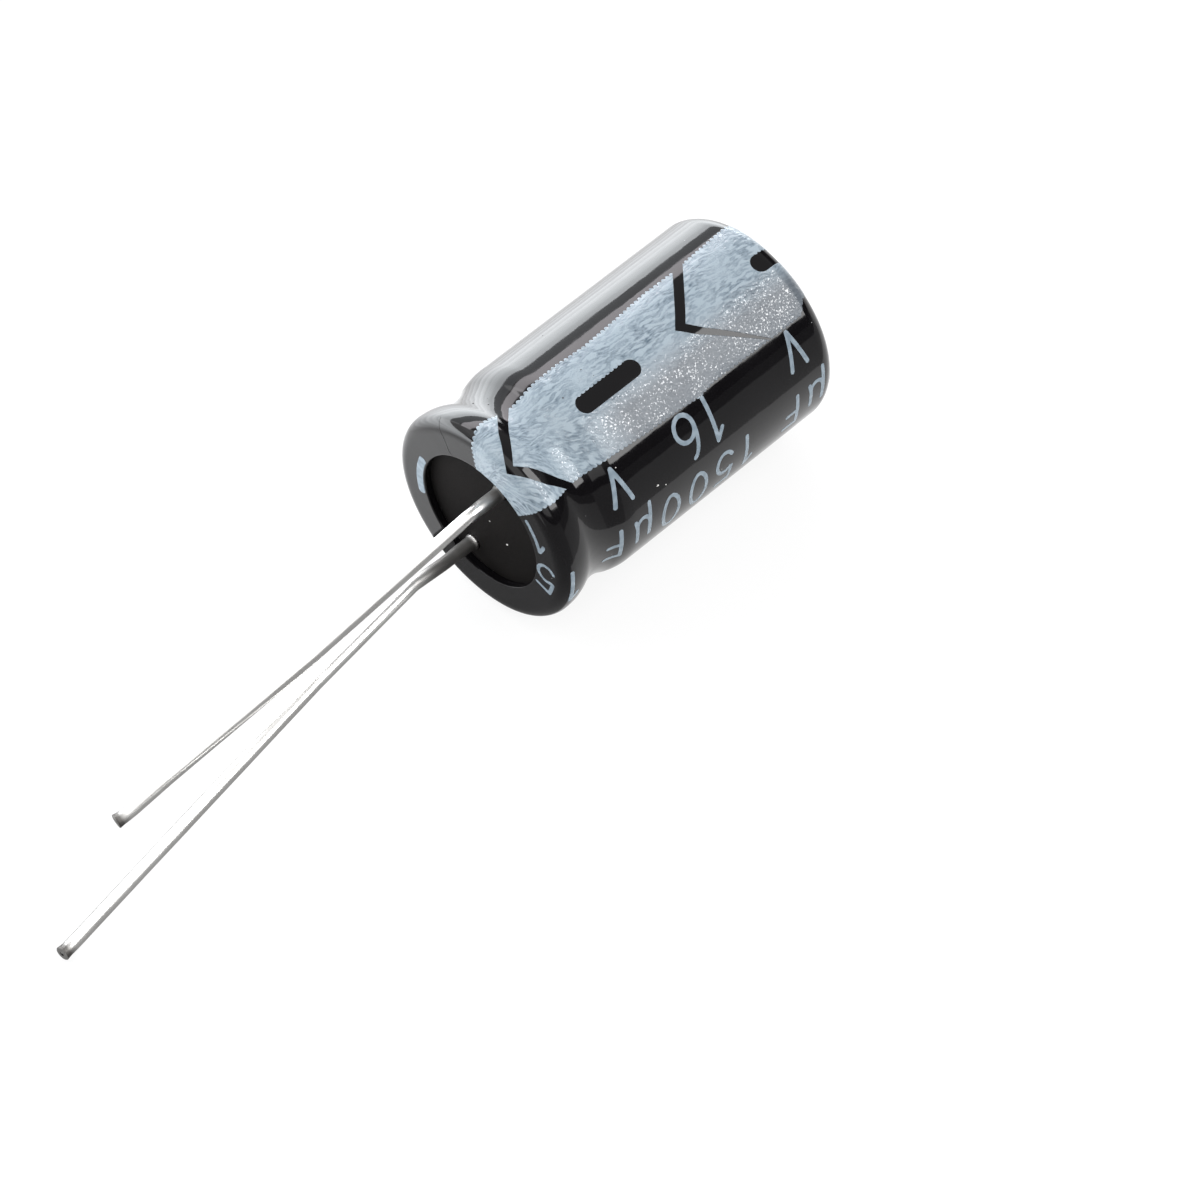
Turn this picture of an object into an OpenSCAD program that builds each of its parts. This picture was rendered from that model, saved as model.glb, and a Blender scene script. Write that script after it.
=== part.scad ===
// Radial electrolytic capacitor, lying on its side with the tips of both leads on the surface.
// Millimetres, +Z up. The origin is the middle of the seat at the lead end, and +X runs
// along the can from that seat to the vent. Angles about the can start at +Y and turn to +Z.

/* [Can] */
// Outside diameter of the can
can_d = 10; // [9.5:0.5:13]
// Length of the can from its curled rim to its base
can_l = 16.6; // [14:0.2:25]
// Thickness of the can's wall
can_t = 0.3; // [0.2:0.05:0.35]
// Rounding of the can's closed end
base_round = 0.8; // [0.5:0.05:1.2]
// Rounding of the can's lip at the lead end
lip_round = 0.5; // [0.4:0.05:0.8]
// Outer radius of the rim where it curls into the seal
curl_r = 0.45; // [0.4:0.05:0.5]
// Straight end of the curled rim
curl_leg = 0.15; // [0.1:0.05:0.3]
// Flat ring of the rim between the lip and the curl
rim_flat = 0.65; // [0.4:0.05:0.8]

/* [Bead rolled into the can] */
// Depth of the bead
bead_depth = 0.41; // [0.2:0.01:0.6]
// Width of the bead over both shoulders
bead_w = 3.7; // [3:0.05:4]
// Straight land between the lip and the bead
lip_land = 0.05; // [0.05:0.05:0.5]

/* [Vent in the base] */
// Depth of the scored lines
score_depth = 0.12; // [0.05:0.01:0.18]
// Plain ring left between the end of a scored line and the sleeve
score_end = 0.35; // [0.2:0.05:1]
// Turn of the scored cross from the polarity band
score_angle = 38; // [0:1:90]

/* [Sleeve] */
// Thickness of the shrunk sleeve
sleeve_t = 0.15; // [0.1:0.01:0.2]
// How far the sleeve stands in past the curled rim
seal_cover = 0.06; // [0:0.01:0.15]
// Flat ring of the base that the sleeve covers
vent_cover = 0.75; // [0.2:0.05:1]

/* [Polarity band] */
// Angle of the middle of the band
band_angle = 108; // [90:1:130]
// Angle that the band covers
band_span = 58; // [40:1:70]
// Depth of the printed ink
ink_t = 0.03; // [0.02:0.01:0.05]
// Distance from one chevron or minus sign to the next
print_pitch = 10.5; // [9:0.1:12]
// Tip of the first chevron, from the seat
chevron_x = 0.05; // [0.05:0.05:0.3]
// Width of the chevron's line, measured along the can
chevron_w = 0.5; // [0.3:0.05:0.8]
// Slope of the chevron's arms from the can's girth
chevron_slope = 47; // [30:1:55]
// Length of a minus sign
minus_l = 3.5; // [2:0.1:4.5]
// Width of a minus sign
minus_w = 1.1; // [0.6:0.1:1.6]
// Middle of the first minus sign, from the seat
minus_x = 6.28; // [5:0.1:7]

/* [Seal] */
// Depth of the seal's face below the seat
bung_recess = 0.4; // [0.3:0.05:0.5]
// How far the seal stands past the bead inside the can
bung_tail = 0.25; // [0.2:0.05:1]

/* [Leads] */
// Distance between the two leads where they leave the seal
lead_pitch = 5; // [4.4:0.1:5.2]
// Angle of the negative lead about the can
lead_angle = 103; // [60:1:120]
// Diameter of the tinned wire
wire_d = 0.6; // [0.5:0.05:0.7]
// Radius of a bend, to the middle of the wire
bend_r = 1.5; // [1:0.1:2]
// How far the negative lead reaches from the seat
negative_reach = 19.33; // [18.5:0.01:22]
// How far the positive lead reaches from the seat
positive_reach = 25.43; // [23:0.01:28]
// Length of each lead that leaves the seal straight, to its first bend at the soonest
wire_exit = 0.3; // [0.2:0.05:0.6]
// Bends of the negative lead: distance from the seat
negative_bend_x = [9.49, 16.87]; // [6:0.01:18]
// Bends of the negative lead: place across
negative_bend_y = [0.31, 1.47]; // [-1:0.01:2]
// Place of the negative lead's tip across
negative_tip_y = 2.14; // [1.6:0.01:3]
// Bends of the positive lead: distance from the seat
positive_bend_x = [3.17, 10.05, 20.46]; // [3:0.01:22]
// Bends of the positive lead: place across
positive_bend_y = [0.74, 0.13, -0.89]; // [-2:0.01:1]
// Place of the positive lead's tip across
positive_tip_y = -1.24; // [-2:0.01:-1]

/* [Tabs] */
// Diameter of the round post inside the seal
post_d = 1.3; // [1:0.1:1.5]
// Depth of the post's outer end below the seal's face
post_depth = 0.8; // [0.5:0.1:1.2]
// Thickness of the flattened paddle
paddle_t = 0.2; // [0.15:0.01:0.25]
// Space between the paddle's inner end and the edge of the foils
paddle_short = 1.6; // [1:0.1:3]

/* [Wound element] */
// Thickness of the anode foil
anode_t = 0.1; // [0.08:0.01:0.12]
// Thickness of the cathode foil
cathode_t = 0.06; // [0.04:0.01:0.08]
// Thickness of each paper separator
paper_t = 0.05; // [0.04:0.01:0.06]
// Thickness of the closing tape
tape_t = 0.06; // [0.04:0.01:0.08]
// Free radius left in the middle by the winding pin
core_r = 0.7; // [0.5:0.05:1]
// Space between the element and the seal, and between the element and the base
end_space = 0.4; // [0.3:0.05:0.6]
// How far the papers stand past the foils at each end
paper_margin = 0.4; // [0.2:0.05:0.6]

/* [Fits] */
// Play between pieces that are pressed together
seat_gap = 0.01; // [0.005:0.005:0.02]
// Play between the turns of the element
turn_gap = 0.01; // [0.005:0.005:0.02]
// Free ring between the element and the can
side_gap = 0.08; // [0.05:0.01:0.2]
// Free ring round a wire at the seal's face
hole_gap = 0.12; // [0.05:0.01:0.2]

/* [Hidden] */

round_fn = 96;
wire_fn = 24;
arc_step = 12;

can_r = can_d / 2;
seat_r = can_r + sleeve_t;
floor_z = -seat_r;
rim_x = sleeve_t;
base_x = rim_x + can_l;
body_l = base_x + sleeve_t;

// The bead is two equal S-bends: a hollow between two shoulders.
bead_half = bead_w / 2;
bead_x = rim_x + lip_round + lip_land + bead_half;
bead_turn = 2 * atan(bead_depth / bead_half);
bead_bends = bead_half / sin(bead_turn);
shoulder_r = bead_bends / 2;
hollow_r = bead_bends - shoulder_r;

curl_at = can_r - lip_round - rim_flat;
curl_end = rim_x + curl_r + curl_leg;
seal_open_r = curl_at - curl_r - seal_cover;
vent_open_r = can_r - base_round - vent_cover;
score_l = 2 * (vent_open_r - score_end);
bung_face = bung_recess;
bung_in = bead_x + bead_half + bung_tail;
bung_l = bung_in - bung_face;
plug_r = curl_at - curl_r - seat_gap;

pitch_r = lead_pitch / 2;
post_x = bung_face + post_depth;
post_l = bung_in + end_space - turn_gap - post_x;
paddle_x = bung_in + end_space / 2;
post_hole_r = post_d / 2 + seat_gap;
wire_hole_r = wire_d / 2 + hole_gap;

bend_swell = 0.02;
bend_grip = 0.02;

// How much of its fall to the surface each lead has behind it at each bend.
negative_fall = [0.49, 0.89];
positive_fall = [0, 0.28, 0.78];

// The element: four sheets wound together, whose corners share the same angles.
turn_step = 18;
layer_pitch = 2 * paper_t + anode_t + cathode_t + 4 * turn_gap;
inner_paper_at = 0;
anode_at = paper_t + turn_gap;
outer_paper_at = anode_at + anode_t + turn_gap;
cathode_at = outer_paper_at + paper_t + turn_gap;
tape_at = layer_pitch;
pocket = paddle_t;
positive_paddle_at = anode_at + anode_t;
negative_paddle_at = cathode_at + cathode_t;
roll_r = can_r - can_t - side_gap;
turns = floor((roll_r - core_r - pocket - tape_t - tape_at) / layer_pitch - turn_step / 360);
roll_end = 360 * turns;
papers_x = bung_in + end_space;
papers_l = base_x - can_t - end_space - papers_x;
foils_x = papers_x + paper_margin;
foils_l = papers_l - 2 * paper_margin;
paddle_end = foils_x + foils_l - paddle_short;
paddle_half = turn_step;
pocket_fade = 3 * turn_step;
turns_under = round((pitch_r - core_r) / layer_pitch) - 1;
negative_angle = 360 * turns_under;
positive_angle = negative_angle - 180;

// The marks reach past the band's edges, and the cut for the ink past the sleeve.
print_margin = 0.5;
print_reach = 2 * seat_r * sin(band_span / 4) + print_margin;
ink_cut = 0.3;
mark_cut = 2 * ink_cut;
marks = ceil(body_l / print_pitch);

// Points on an arc about c, from angle a to angle b.
function arc(c, r, a, b) =
    let (n = ceil(abs(b - a) / arc_step))
    [for (i = [0:n]) c + r * [cos(a + (b - a) * i / n), sin(a + (b - a) * i / n)]];

function flip(list) = [for (i = [len(list) - 1:-1:0]) list[i]];

function unit(v) = v / norm(v);

// The can's closed end as [radius, x] points, moved outwards by d.
function base_outline(d) =
    arc([can_r - base_round, base_x - base_round], base_round + d, 90, 0);

// The can's bead, lip and curled rim as [radius, x] points, moved outwards by d.
function bead_outline(d) = concat(
    arc([can_r - shoulder_r, bead_x + bead_half], shoulder_r + d, 0, -bead_turn),
    arc([can_r - bead_depth + hollow_r, bead_x], hollow_r - d, 180 - bead_turn, 180 + bead_turn),
    arc([can_r - shoulder_r, bead_x - bead_half], shoulder_r + d, bead_turn, 0)
);
function lip_outline(d) = arc([can_r - lip_round, rim_x + lip_round], lip_round + d, 0, -90);
function curl_outline(d) = concat(
    arc([curl_at, rim_x + curl_r], curl_r + d, -90, -180),
    [[curl_at - curl_r - d, curl_end]]
);

// The outside of a skin that lies at d over the can, from its vent opening to its seal opening.
function skin_outline(d) = concat(
    [[vent_open_r, base_x + d]], base_outline(d), bead_outline(d), lip_outline(d),
    [[seal_open_r, rim_x - d]]
);

// Turns a [radius, x] profile about the can's axis.
module revolve(points, from = 0, span = 360) {
    rotate([from, 0, 0]) rotate([90, 0, 90])
        rotate_extrude(angle = span, $fn = round_fn) polygon(points);
}

module at_angle(a) {
    rotate([a, 0, 0]) children();
}

// One chevron line, drawn along x and across.
module chevron() {
    rise = print_reach * tan(chevron_slope);
    polygon([
        [0, 0], [rise, print_reach], [rise + chevron_w, print_reach],
        [chevron_w, 0], [rise + chevron_w, -print_reach], [rise, -print_reach]
    ]);
}

// One minus sign with round ends, drawn along x.
module minus_sign() {
    straight = minus_l - minus_w;
    square([straight, minus_w], center = true);
    for (side = [-1, 1]) translate([side * straight / 2, 0]) circle(d = minus_w, $fn = wire_fn);
}

// The marks that show the sleeve's own colour through the band, cut straight in from outside.
module band_marks() {
    // Lower than the ink at the band's edges in the bead.
    mark_from = (can_r - bead_depth) * cos(band_span / 2);
    at_angle(band_angle - 90) translate([0, 0, mark_from]) linear_extrude(seat_r + mark_cut - mark_from)
        for (i = [0:marks - 1]) {
            translate([chevron_x + i * print_pitch, 0]) chevron();
            translate([minus_x + i * print_pitch, 0]) minus_sign();
        }
}

// The band's region from the bottom of the ink out to the height top over the can.
module band_field(top) {
    difference() {
        revolve(
            concat(skin_outline(top), flip(skin_outline(sleeve_t - ink_t))),
            band_angle - band_span / 2, band_span
        );
        band_marks();
    }
}

module sleeve() {
    color([0.06, 0.06, 0.07])
    difference() {
        revolve(concat(skin_outline(sleeve_t), flip(skin_outline(seat_gap))));
        band_field(sleeve_t + ink_cut);
    }
}

module polarity_band() {
    color([0.66, 0.74, 0.8]) band_field(sleeve_t);
}

module can() {
    score_side = score_depth * sqrt(2);
    color([0.86, 0.87, 0.88])
    difference() {
        revolve(concat(
            [[0, base_x]], base_outline(0), bead_outline(0), lip_outline(0), curl_outline(0),
            flip(curl_outline(-can_t)), flip(lip_outline(-can_t)), flip(bead_outline(-can_t)),
            flip(base_outline(-can_t)), [[0, base_x - can_t]]
        ));
        for (turn = [0, 90]) at_angle(band_angle + score_angle + turn) translate([base_x, 0, 0])
            rotate([0, 45, 0]) cube([score_side, score_l, score_side], center = true);
    }
}

module bung() {
    inside = -can_t - seat_gap;
    color([0.09, 0.09, 0.09])
    difference() {
        revolve(concat(
            [[0, bung_in], [can_r + inside, bung_in]],
            bead_outline(inside), lip_outline(inside), curl_outline(inside),
            [
                [curl_at - curl_r - inside, curl_end + seat_gap], [plug_r, curl_end + seat_gap],
                [plug_r, bung_face], [0, bung_face]
            ]
        ));
        for (a = [lead_angle, lead_angle + 180]) at_angle(a) translate([0, pitch_r, 0]) rotate([0, 90, 0]) {
            cylinder(r = wire_hole_r, h = bung_in, $fn = wire_fn);
            translate([0, 0, post_x - seat_gap]) cylinder(r = post_hole_r, h = bung_l, $fn = wire_fn);
        }
    }
}

// The middle of a lead where it leaves the seal, at the distance x from the seat.
function lead_root(a, x) = [x, pitch_r * cos(a), pitch_r * sin(a)];

// The points of a lead: out of the seal along the can, then down to rest on the surface.
function lead_points(a, bend_x, bend_y, fallen, reach, tip_y) =
    let (root = lead_root(a, -wire_exit), fall = floor_z + wire_d / 2 - root.z)
    concat(
        [lead_root(a, post_x), root],
        [for (i = [0:len(bend_x) - 1]) [-bend_x[i], bend_y[i], root.z + fallen[i] * fall]],
        [[-reach, tip_y, root.z + fall]]
    );

// Round wire along a chain of points, with a true bend of radius bend_r at each inner point.
// A bend is a hair thicker than the wire, and the straight lengths run a little way into it.
module wire(p) {
    last = len(p) - 1;
    way = [for (i = [0:last - 1]) unit(p[i + 1] - p[i])];
    turn = [for (i = [1:last - 1]) acos(way[i - 1] * way[i])];
    setback = concat([0], [for (t = turn) bend_r * tan(t / 2)], [0]);
    for (i = [0:last - 1]) {
        from = i == 0 ? 0 : setback[i] - bend_grip;
        to = norm(p[i + 1] - p[i]) - (i == last - 1 ? 0 : setback[i + 1] - bend_grip);
        translate(p[i] + way[i] * from)
            rotate([0, acos(way[i].z), atan2(way[i].y, way[i].x)])
            cylinder(d = wire_d, h = to - from, $fn = wire_fn);
    }
    for (i = [1:last - 1]) {
        ahead = way[i - 1];
        inwards = unit(way[i] - (ahead * way[i]) * ahead);
        axis = cross(ahead, inwards);
        middle = p[i] - ahead * setback[i] + inwards * bend_r;
        multmatrix([
            [-inwards.x, ahead.x, axis.x, middle.x],
            [-inwards.y, ahead.y, axis.y, middle.y],
            [-inwards.z, ahead.z, axis.z, middle.z],
            [0, 0, 0, 1]
        ]) rotate_extrude(angle = turn[i - 1], $fn = round_fn)
            translate([bend_r, 0]) circle(d = wire_d + bend_swell, $fn = wire_fn);
    }
}

module negative_lead() {
    color([0.8, 0.8, 0.79]) wire(lead_points(
        lead_angle, negative_bend_x, negative_bend_y, negative_fall, negative_reach, negative_tip_y
    ));
}

module positive_lead() {
    color([0.8, 0.8, 0.79]) wire(lead_points(
        lead_angle + 180, positive_bend_x, positive_bend_y, positive_fall, positive_reach, positive_tip_y
    ));
}

// How much a sheet is pushed out at the turn angle t where it passes over a paddle.
function push(t, paddle_angle, above) =
    let (start = paddle_angle + (above ? -180 : 180), off = abs((t - paddle_angle + 180) % 360 - 180))
    t <= start ? 0 : pocket * max(0, min(1, (paddle_half + pocket_fade - off) / pocket_fade));

// The inner radius at the turn angle t of a sheet that lies at the height h in the stack.
function sheet_r(t, h) = core_r + layer_pitch * t / 360 + h
    + push(t, negative_angle, h > negative_paddle_at) + push(t, positive_angle, h > positive_paddle_at);

// A point at the turn angle t, counted from the negative lead.
function sheet_point(t, r) = r * [cos(t), sin(t)];

// A sheet of the given thickness at the height h in the stack, from turn angle a to b.
module sheet(h, thickness, a, b, x, length) {
    turns_at = [for (t = [a:turn_step:b]) t];
    inner = [for (t = turns_at) sheet_point(t, sheet_r(t, h))];
    outer = [for (t = turns_at) sheet_point(t, sheet_r(t, h) + thickness)];
    at_angle(lead_angle) translate([x, 0, 0]) rotate([90, 0, 90])
        linear_extrude(length) polygon(concat(inner, flip(outer)));
}

module inner_separator() {
    color([0.9, 0.88, 0.8]) sheet(inner_paper_at, paper_t, 0, roll_end, papers_x, papers_l);
}

module anode_foil() {
    color([0.6, 0.62, 0.64])
        sheet(anode_at, anode_t, 2 * turn_step, roll_end - 2 * turn_step, foils_x, foils_l);
}

module outer_separator() {
    color([0.92, 0.9, 0.83]) sheet(outer_paper_at, paper_t, 0, roll_end, papers_x, papers_l);
}

module cathode_foil() {
    color([0.74, 0.75, 0.76])
        sheet(cathode_at, cathode_t, turn_step, roll_end - turn_step, foils_x, foils_l);
}

module closing_tape() {
    color([0.82, 0.72, 0.4])
        sheet(tape_at, tape_t, roll_end - 360 + turn_step, roll_end + turn_step, papers_x, papers_l);
}

// A post in the seal whose inner end is pressed flat and lies on its foil in the roll.
module tab(a, h, paddle_angle) {
    at_angle(a) translate([post_x, pitch_r, 0]) rotate([0, 90, 0])
        cylinder(d = post_d, h = post_l, $fn = wire_fn);
    sheet(h, paddle_t, paddle_angle - paddle_half, paddle_angle + paddle_half,
        paddle_x, paddle_end - paddle_x);
}

module negative_tab() {
    color([0.78, 0.79, 0.8]) tab(lead_angle, negative_paddle_at, negative_angle);
}

module positive_tab() {
    color([0.78, 0.79, 0.8]) tab(lead_angle + 180, positive_paddle_at, positive_angle);
}

sleeve();
polarity_band();
can();
bung();
negative_lead();
positive_lead();
negative_tab();
positive_tab();
inner_separator();
anode_foil();
outer_separator();
cathode_foil();
closing_tape();
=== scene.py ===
import math

import bpy
import numpy as np
from mathutils import Matrix, Vector


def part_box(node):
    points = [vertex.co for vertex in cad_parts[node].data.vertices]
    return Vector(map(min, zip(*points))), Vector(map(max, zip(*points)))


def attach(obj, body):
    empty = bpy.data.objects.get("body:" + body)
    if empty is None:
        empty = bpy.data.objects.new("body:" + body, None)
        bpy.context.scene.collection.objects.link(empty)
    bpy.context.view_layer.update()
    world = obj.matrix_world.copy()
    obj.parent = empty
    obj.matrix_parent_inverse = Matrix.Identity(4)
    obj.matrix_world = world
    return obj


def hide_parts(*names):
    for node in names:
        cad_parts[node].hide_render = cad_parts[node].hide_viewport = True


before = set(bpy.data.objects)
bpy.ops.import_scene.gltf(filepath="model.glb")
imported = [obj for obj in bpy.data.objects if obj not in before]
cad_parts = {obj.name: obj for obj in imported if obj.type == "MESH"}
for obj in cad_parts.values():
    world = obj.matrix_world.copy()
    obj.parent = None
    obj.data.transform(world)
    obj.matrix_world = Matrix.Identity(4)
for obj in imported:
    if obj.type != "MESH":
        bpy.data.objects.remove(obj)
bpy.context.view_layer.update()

# Everything below is in millimetres until a mesh or a light is made.
MM = 0.001

# The can and its sleeve, as the frame has them.
can_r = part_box("can")[1].z / MM
seat_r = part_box("sleeve")[1].z / MM
body_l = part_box("sleeve")[1].x / MM
base_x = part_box("can")[1].x / MM
sleeve_t = seat_r - can_r
floor_z = -seat_r

# The outline of the can under the sleeve.
lip_round = 0.5
base_round = 0.8
bead_depth = 0.41
bead_half = 1.85
lip_land = 0.05
seal_open_r = 3.34
vent_open_r = 3.45
bead_x = sleeve_t + lip_round + lip_land + bead_half
bead_turn = 2 * math.degrees(math.atan(bead_depth / bead_half))
bead_bends = bead_half / math.sin(math.radians(bead_turn))
shoulder_r = bead_bends / 2
hollow_r = bead_bends / 2

# The film's outside lies this much under the frame's, which leaves room for the ink.
film_level = -0.021

# The film's mesh, its thickness, the samples of its outline, and its edges' rings as shares of a half turn.
film_cell_along = 0.085
film_columns = 256
film_skin = 0.117
outline_samples = 6000
rim_turns = (0.25, 0.5, 0.75)

# At the seal the film turns in over the can's rim, where it is thinner.
tuck_depth = 0.375
tuck_round = 0.08
tuck_skin = 0.035
tuck_steps = 12
tuck_l = tuck_depth - tuck_round + (math.pi / 2 - 1) * tuck_round

# Rings of the film's mesh are close together at the seal, and film_cell_along apart from there on.
tuck_rings = np.r_[np.linspace(-tuck_l, -0.1, 4), np.linspace(-0.06, 0.1, 8), 0.16]
plain_from = 0.22

# The print, along the film from the edge at the seal and round it in degrees from +Y to +Z.
ink_t = 0.004
ink_relief = 0.008
ink_cell = 0.034

# Painted shade darkens the ink from the first angle to the second and stops at the third, past this length
# of film.
shade_turns = (107, 121, 138)
shade_from = 5.2
shade_over = 2.4

# The print repeats at its pitch. Its grids and its ink stop short of the film's edges by the margins.
print_pitch = 10.75
grid_margin = 0.04
band_margin = 0.06
figure_margin = 0.08

# How far round the film the grids reach: the band's, and a row of figures' from its foot.
band_turns = (74, 143)
figure_turns = (-12, 45)

# Teeth along the ink, full at the band's upper edge and smaller at its lower edge and its bars.
tooth_pitch = 0.245
tooth_depth = 0.2
tooth_level = 0.6
lower_tooth = 0.5
bar_tooth = 0.45

# The band's edges as (along the film, angle).
upper_edge = [(0.07, 87.8), (0.71, 86.5), (1.6, 85.2), (2.35, 82), (4.17, 81.5), (5.87, 82), (7.02, 81.5),
              (8.56, 82.8), (10.53, 81.5), (12.57, 79.5), (14.33, 79.8), (18.26, 76.5), (20, 75.5)]
lower_edge = [(0.4, 134.2), (1.99, 134.2), (2.35, 134.8), (3.52, 134), (4.16, 133.8), (6.09, 134.2),
              (7.84, 135.8), (10, 136.8), (11.13, 138), (12.02, 136.2), (16.43, 137), (17.48, 136.8),
              (17.98, 131.2), (20, 128)]

# A chevron is two arms from its apex. Each arm's edges are (along the film, angle) points.
chevrons = [
    {"outer": [(4.4, 69.5), (3.43, 81.8), (2.58, 92.2), (2.2, 98.5), (1.48, 110), (1.9, 116), (2.6, 126),
               (3.32, 133), (4, 140)],
     "inner": [(5.1, 69.5), (4.17, 81), (3.02, 94.5), (2.55, 101), (1.92, 109.6), (2.53, 115.8),
               (3.21, 125), (4.03, 135.5), (4.4, 140)]},
    {"outer": [(15.13, 70), (14.27, 80.2), (12.74, 98.3), (12.1, 105.6), (12.79, 113.8), (14.8, 131.2),
               (15.6, 138)],
     "inner": [(15.75, 70), (14.9, 80.2), (13.1, 101.5), (12.7, 106), (13.22, 112.8), (15.1, 132),
               (15.7, 138)]},
]
bars = [{"s": 7.91, "turn": 107.15, "straight": 2.73}, {"s": 18.81, "turn": 104.6, "straight": 2.73}]
bar_r = 0.45
chevron_lean = 0.75
digit_aspect = 0.48

# The leads. They leave the frame's seal at one angle, and the dressed seal at another.
frame_lead_angle = 103
lead_angle = 110
pitch_r = 2.5
wire_r = 0.3
bend_r = 1.5
post_x = 1.2
wire_exit = 1.4
wire_sides = 40
hook_l = 1.1
bung_face = 0.4
negative_route = {"x": (9.45, 16.8, 19.33), "y": (0.38, 1.63, 2.12), "fall": (0.455, 0.835, 1)}
positive_route = {"x": (3.1, 9.6, 20.6, 25.36), "y": (0.95, 0.12, -0.83, -1.24),
                  "fall": (0, 0.035, 0.7, 1)}

# Each wire's root carries a painted dark reflection of the seal, with its strength, the length it covers
# and the length it fades over.
negative_wire = {"name": "negative_wire", "node": "negative_lead", "flare": 0.03, "lift": 0.14,
                 "shade_and_bare": 0.5, "root_shade_l": 1.3, "fade_l": 0.15}
positive_wire = {"name": "positive_wire", "node": "positive_lead", "flare": 0.03, "lift": 0.08,
                 "shade_and_bare": 0.85, "root_shade_l": 4.4, "fade_l": 2.0}

wire_wave = {"depth": 0.004, "rate": 1.7}
collar = {"height": 0.11, "x": 0.03, "width": 0.06}
root = {"height": 0.006, "x": 1.15, "width": 0.04}
collar_l = 0.1
flare_l = 0.3
flare_power = 1.6

# The cropped end as rings of (share of the radius, height), the painted shade on the tip, and how dark the
# uncoated cut face is.
crop_rings = ((0.93, 0.03), (0.72, 0.04), (0.3, 0.035))
tip_shade = 0.95
tip_shade_l = 0.45
tip_full = 1.4
face_dull = 0.45

# Dust and fine cracks in the film, as (along the film, angle).
pale_dust = [(5.9, 140), (16.27, 136), (7.48, 162.2), (7.9, 165)]
dark_dust = [(4.16, 64.5), (3.86, 69.5), (3.58, 61.3), (8.38, 55.8)]
band_dust = [(7.61, 92), (7.5, 95.2), (7.79, 98.5), (6, 98)]
ring_crack = [(1.95, 58.5), (1.05, 61.3), (0.27, 60.8), (0.02, 63.2)]
band_crack = [(10.07, 121.2), (10.2, 135.8)]

# Dust on the seal, as (y, z).
seal_dust = [(-0.21, -0.1), (-1.25, -0.79)]

# A grain of dust: its rings' angles up from its foot, its sides, its shares of width and height, and the
# sizes that grains take in turn.
grain_rings = (0, 40, 75)
grain_sides = 8
grain_lean = (0.3, 0.5, 0.8)
grain_oval = 0.7
grain_height = 0.35
grain_sizes = (0.7, 1.0, 1.3, 0.85, 1.15)

# A crack: its steps, its sway along the film and round it, how wide its ends are and how high it stands.
crack_steps = 60
crack_cells = 9
crack_sway_s = {"depth": 0.03, "row": 0.3, "seed": 61}
crack_sway_turn = {"depth": 0.4, "row": 0.6, "seed": 62}
crack_end = 0.35
crack_sink = 0.3
crack_rise = 0.15

# Colours of light.
white = (1, 1, 1)
cool = (0.93, 0.97, 1.0)

# The card behind the can: its place, and its glow as (height, radiance).
card_foot = -5.1
card_top = 8.9
card_strips = 7
card_l = 78
card_x = 7
card_y = 15
card_glow = [(-4, 0.5), (-0.5, 1.9), (2.4, 4.5), (5.3, 6.6), (7, 6.4), (9, 5.4)]

# Cards in front: two upright for the can, one upright and one flat for the leads. Each has its name, the
# first and the last of its corners, and its radiance.
cards_y = -15
flat_z = floor_z + 0.02
mirror_cards = [
    ("can_card", (5, cards_y, floor_z), (40, cards_y, 3), 0.5),
    ("can_card_top", (5, cards_y, 3), (40, cards_y, 5.5), 0.12),
    ("lead_card", (-34, cards_y, floor_z), (5, cards_y, 5.5), 0.3),
    ("flat_card", (-34, cards_y, flat_z), (1, 4, flat_z), 0.3),
]

# The floor: half its width, its colour, and its glow for the camera and for what mirrors it.
floor_half = 900
floor_colour = (0.93, 0.93, 0.93, 1)
floor_glow = 0.86
floor_mirrored = 0.68

# The world's radiance by the sine of the height.
sky_stops = ((0, 1), (0.015, 1), (0.03, 0.04), (0.44, 0.04), (0.55, 0.42))

# Soft lights: name, turn, lean, distance, width, height, radiance, colour and what they face.
can_middle = (body_l / 2, 0, 0)
leads_middle = (-41, 0, 0)
softboxes = [
    ("key_softbox", 129.5, 26, 260, 130, 210, 6.6, white, can_middle),
    ("back_softbox", 25, 20, 260, 300, 60, 1.2, cool, can_middle),
    ("back_strip", 38.5, 20, 260, 300, 56, 5.4, (1.0, 0.96, 1.0), can_middle),
    ("left_softbox_back", 44, 0, 70, 78, 110, 1.15, white, leads_middle),
    ("left_softbox_front", 118, 0, 70, 78, 110, 1.15, white, leads_middle),
]

# The camera stands where the photograph was taken from.
camera_at = Vector((-98.494, -104.178, 175.317))
camera_azimuth = 45.44
camera_elevation = 51.58
camera_lens = 159.79
sensor_w = 36


# Noise and small helpers

noise_cells = 256
noise_gain = 1.5


def gradients(seed):
    return np.random.default_rng(seed).random((noise_cells, noise_cells)) * 2 * np.pi


def ease(t):
    return t * t * t * (t * (6 * t - 15) + 10)


def noise(u, v, seed, around=noise_cells):
    """Gradient noise from about -1 to 1, which repeats after a whole number of cells in v."""
    table = gradients(seed)
    cell_u = np.floor(u).astype(int)
    cell_v = np.floor(v).astype(int)
    value = np.zeros(np.broadcast(u, v).shape)
    for step_u in (0, 1):
        for step_v in (0, 1):
            angle = table[(cell_u + step_u) % noise_cells, (cell_v + step_v) % around]
            off_u = u - cell_u - step_u
            off_v = v - cell_v - step_v
            weight = ease(1 - np.abs(off_u)) * ease(1 - np.abs(off_v))
            value += weight * (np.cos(angle) * off_u + np.sin(angle) * off_v)
    return value * noise_gain


def bump(value, middle, width):
    """A smooth hump of height 1."""
    return np.exp(-((value - middle) / width) ** 2)


def arc(centre, radius, start, end, steps=24):
    angle = np.radians(np.linspace(start, end, steps))
    return np.stack([centre[0] + radius * np.cos(angle), centre[1] + radius * np.sin(angle)], 1)


# The film's outline

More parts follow.
